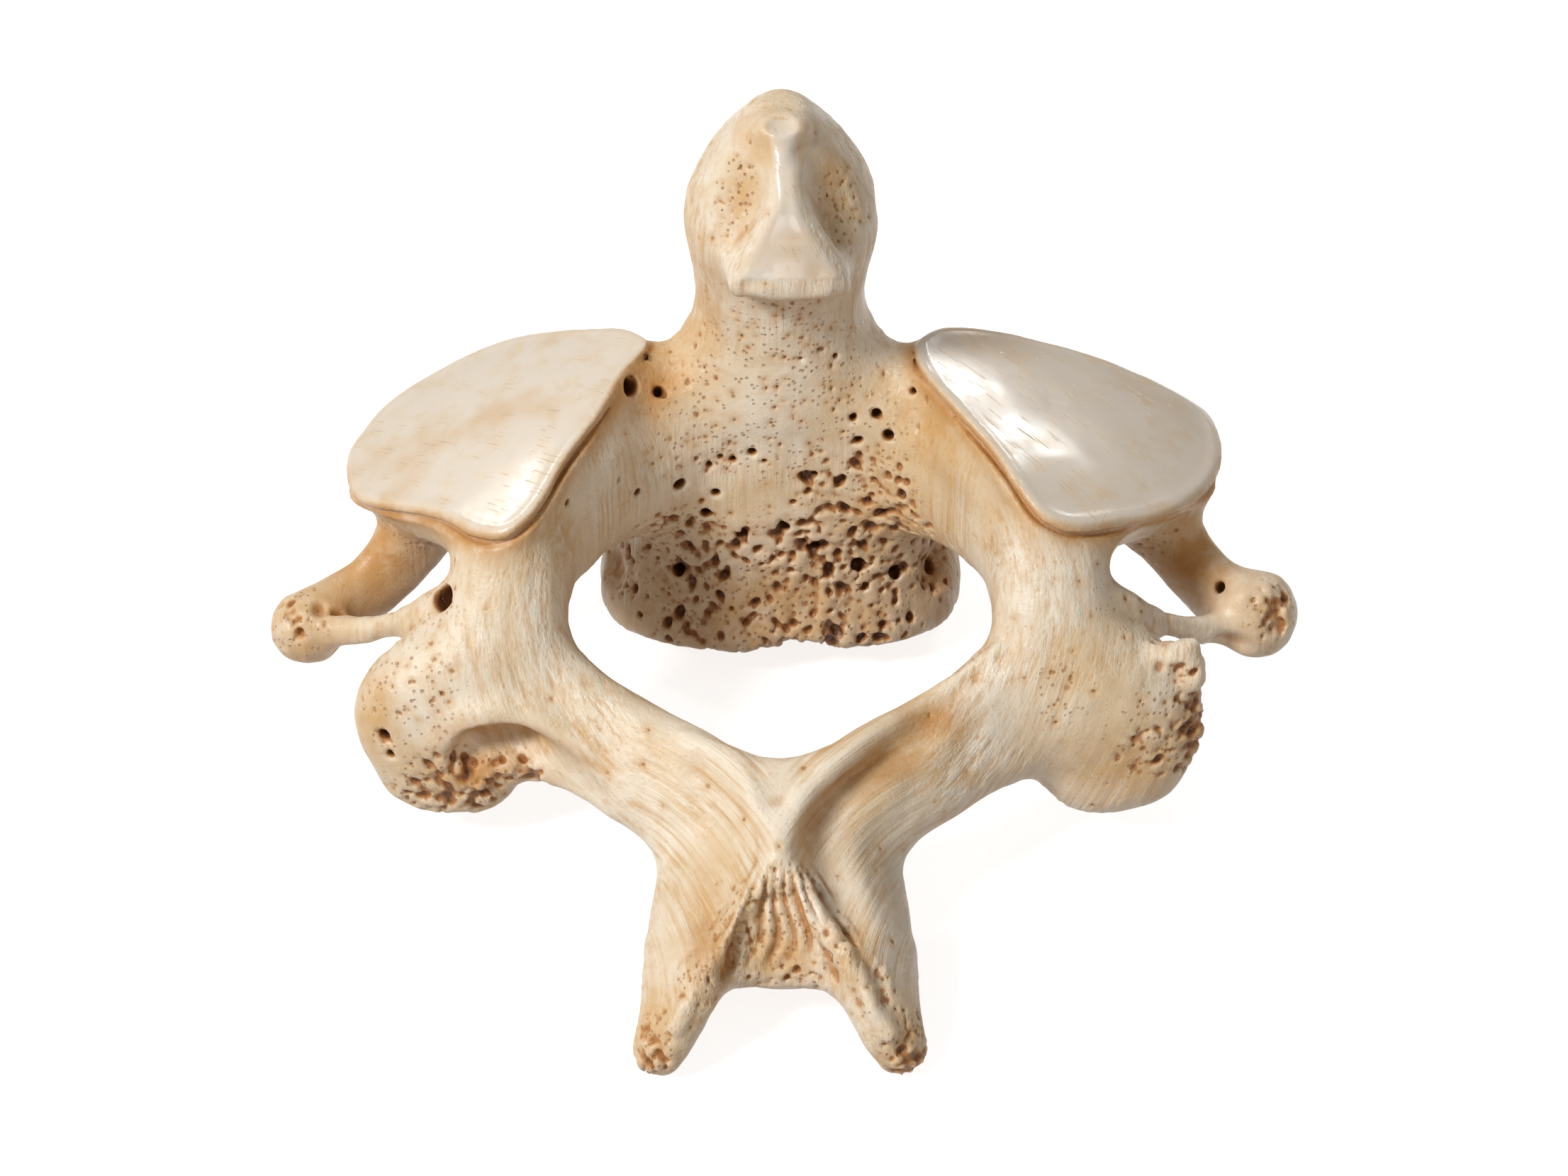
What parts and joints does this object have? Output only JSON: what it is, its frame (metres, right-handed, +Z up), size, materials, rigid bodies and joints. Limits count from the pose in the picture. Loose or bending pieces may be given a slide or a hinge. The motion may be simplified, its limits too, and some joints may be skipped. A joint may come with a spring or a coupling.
{
  "type": "axis vertebra",
  "caption": "Second neck vertebra of an adult human, a dry bone at life size: tooth-like dens, sloping upper joint faces, wide canal and forked spinous process.",
  "frame": {"origin": "on the floor under the middle of the bone's overall box, as it lies on the lower rim of its body and its two spine tips", "axes": "+X to the bone's own right side, +Y to its front, +Z up, along the dens"},
  "size_m": [0.0586, 0.045, 0.0377],
  "materials": {
    "bone": "dry ivory bone, satin, with polished joint faces"
  },
  "bodies": {
    "root": {"centrum": "bone", "dens": "bone", "lateral_mass_left": "bone", "lateral_mass_right": "bone", "articular_process_left": "bone", "articular_process_right": "bone", "lamina_left": "bone", "lamina_right": "bone", "spinous_process": "bone", "transverse_process_left": "bone", "transverse_process_right": "bone"}
  },
  "joints": []
}
